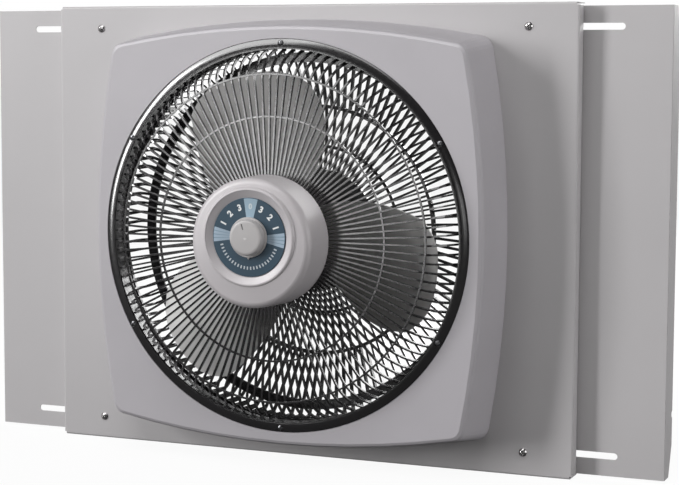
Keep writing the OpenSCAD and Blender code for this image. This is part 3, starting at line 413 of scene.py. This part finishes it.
def print_dial():
    """Three pale sectors, the speed numbers and a plain row of dashes below."""
    top = sector_mesh("dial_off_sector", 0, SECTOR_HALF, SECTOR_INNER, SECTOR_OUTER, PRINT_LIFT)
    add_piece("dial_off_sector", top, ink("off_ink", (0.24, 0.345, 0.43), fade_and_shade=(1.1, 0.95)))

    sides = (-math.pi / 2, math.pi / 2)
    fans = [
        sector_mesh("sector", side, SECTOR_HALF, SECTOR_INNER, SECTOR_OUTER, PRINT_LIFT)
        for side in sides
    ]
    # The side sectors darken towards the knob: painted shade cast by the knob.
    add_piece("dial_side_sectors", joined("dial_side_sectors", fans),
              ink("side_ink_and_knob_shade", (0.28, 0.37, 0.46), fade_and_shade=(0.75, 1.1)))

    lines = [
        sector_mesh("line", side + step * SECTOR_HALF, LINE_HALF, SECTOR_INNER, SECTOR_OUTER,
                    LINE_LIFT)
        for side in sides for step in (-0.5, 0, 0.5)
    ]
    add_piece("dial_sector_lines", joined("dial_sector_lines", lines),
              ink("line_ink", (0.17, 0.25, 0.31)))

    add_piece("dial_zero", numeral_mesh("0", 0, ZERO_SIZE), ink("zero_ink", (0.48, 0.55, 0.57)))
    numerals = [
        numeral_mesh(text, side * place * DETENT, NUMBER_SIZE)
        for place, text in ((1, "3"), (2, "2"), (3, "1")) for side in (-1, 1)
    ]
    add_piece("dial_numbers", joined("dial_numbers", numerals),
              ink("white_ink", (0.74, 0.76, 0.76)))

    dashes = [
        sector_mesh("dash", math.pi + DASH_REACH * (2 * i / (DASH_COUNT - 1) - 1), DASH_HALF,
                    DASH_INNER, DASH_OUTER, PRINT_LIFT)
        for i in range(DASH_COUNT)
    ]
    add_piece("dial_dashes", joined("dial_dashes", dashes), ink("dash_ink", (0.46, 0.50, 0.53)))


def mark_knob():
    """A dark inlay in the short groove on the knob's front."""
    face = KNOB_LOW.y + MARK_SINK
    corners = []
    for y in (face + MARK_DEPTH, face):
        corners += [
            (-MARK_HALF_WIDTH, y, MARK_LOW), (MARK_HALF_WIDTH, y, MARK_LOW),
            (MARK_HALF_WIDTH, y, MARK_HIGH), (-MARK_HALF_WIDTH, y, MARK_HIGH),
        ]
    faces = [(0, 1, 2, 3), (7, 6, 5, 4), (0, 4, 5, 1), (1, 5, 6, 2), (2, 6, 7, 3), (3, 7, 4, 0)]
    mesh = mesh_of("knob_mark", corners, faces)
    turned = Matrix.Rotation(-MARK_TURN, 4, "Y")
    mesh.transform(Matrix.Translation((DIAL_CENTRE.x, 0, DIAL_CENTRE.z)) @ turned)
    add_piece("knob_mark", mesh, ink("knob_mark_ink", (0.03, 0.03, 0.035)), body="dial_knob")


# ---------- studio ----------

# Left and up are degrees from the fan's axis, as seen from its centre, and power is in watts.
# A light that is there for sheen only adds highlights and gives no diffuse light.
FAN_CENTRE = Vector((0, 0, 0.28))
LIGHTS = {
    "key": dict(left=53, up=12, distance=8.0, width=1.6, height=4.2, power=585),
    "overhead": dict(left=3, up=60, distance=2.6, width=1.6, height=1.6, power=36),
    "beside_camera": dict(left=-18, up=2, distance=4.0, width=1.2, height=0.7, power=6),
    "right": dict(left=-79, up=7, distance=2.8, width=1.5, height=1.5, power=32),
    "sheen": dict(left=44, up=36, distance=4.0, width=2.6, height=2.0, power=115,
                  sheen_only=True),
    "glint_right": dict(left=16.6, up=-3.8, distance=1.97, width=0.34, height=0.2, power=1.4,
                        sheen_only=True),
    "glint_top": dict(left=25, up=2.8, distance=2.08, width=0.4, height=0.26, power=3.3,
                      sheen_only=True),
    "rear": dict(left=-164, up=25, distance=3.2, width=2.0, height=2.0, power=110),
}
WORLD_LIGHT = 0.02
FLOOR_HALF = 40.0
FLOOR_GLOW = 0.93
FLOOR_DULL = (0.13, 0.13, 0.13, 1)
WHITE = (1, 1, 1, 1)


def softbox(name, left, up, distance, width, height, power, sheen_only=False):
    """A rectangular light aimed at the fan's centre, which the camera doesn't see."""
    data = bpy.data.lights.new(name, "AREA")
    data.shape = "RECTANGLE"
    data.size = width
    data.size_y = height
    data.energy = power
    left, up = math.radians(left), math.radians(up)
    towards = Vector((
        -math.sin(left) * math.cos(up),
        -math.cos(left) * math.cos(up),
        math.sin(up),
    ))
    light = bpy.data.objects.new(name, data)
    light.location = FAN_CENTRE + distance * towards
    light.rotation_euler = (-towards).to_track_quat("-Z", "Y").to_euler()
    light.visible_diffuse = not sheen_only
    light.visible_camera = False
    bpy.context.scene.collection.objects.link(light)


def for_camera_only(tree, seen, lit):
    """The camera sees one shader, and every other ray meets the other."""
    choose = tree.nodes.new("ShaderNodeMixShader")
    path = tree.nodes.new("ShaderNodeLightPath")
    tree.links.new(path.outputs["Is Camera Ray"], choose.inputs["Fac"])
    tree.links.new(lit, choose.inputs[1])
    tree.links.new(seen, choose.inputs[2])
    return choose.outputs["Shader"]


def make_floor():
    """A pale floor that runs into the white surround, with a soft shadow under the fan."""
    mesh = mesh_of("floor", [
        (-FLOOR_HALF, -FLOOR_HALF, 0), (FLOOR_HALF, -FLOOR_HALF, 0),
        (FLOOR_HALF, FLOOR_HALF, 0), (-FLOOR_HALF, FLOOR_HALF, 0),
    ], [(0, 1, 2, 3)])
    floor = bpy.data.objects.new("floor", mesh)
    bpy.context.scene.collection.objects.link(floor)
    finish = Finish("floor", (0.86, 0.86, 0.86), 0.9, specular=0.1)
    finish.mottle(2, 2, 0.995, 1.005)
    glow = finish.node("ShaderNodeEmission")
    pale = finish.node("ShaderNodeMixShader")
    pale.inputs["Fac"].default_value = FLOOR_GLOW
    finish.link(finish.shader.outputs["BSDF"], pale.inputs[1])
    finish.link(glow.outputs["Emission"], pale.inputs[2])
    dull = finish.node("ShaderNodeBsdfDiffuse")
    dull.inputs["Color"].default_value = FLOOR_DULL
    mixed = for_camera_only(finish.tree, pale.outputs["Shader"], dull.outputs["BSDF"])
    finish.link(mixed, finish.tree.nodes["Material Output"].inputs["Surface"])
    mesh.materials.append(finish.material)


def make_world():
    """A white surround that gives only a little light of its own."""
    world = bpy.data.worlds.new("studio")
    world.use_nodes = True
    tree = world.node_tree
    lit = tree.nodes["Background"]
    lit.inputs["Color"].default_value = WHITE
    lit.inputs["Strength"].default_value = WORLD_LIGHT
    seen = tree.nodes.new("ShaderNodeBackground")
    seen.inputs["Color"].default_value = WHITE
    mixed = for_camera_only(tree, seen.outputs["Background"], lit.outputs["Background"])
    tree.links.new(mixed, tree.nodes["World Output"].inputs["Surface"])
    bpy.context.scene.world = world


def make_studio():
    """A tall softbox far to the left, weaker ones around it, and three that only add sheen."""
    make_floor()
    make_world()
    for name, settings in LIGHTS.items():
        softbox(name, **settings)
    bpy.context.scene.view_settings.view_transform = "Standard"


make_camera()
dress_nodes()
print_dial()
mark_knob()
make_studio()
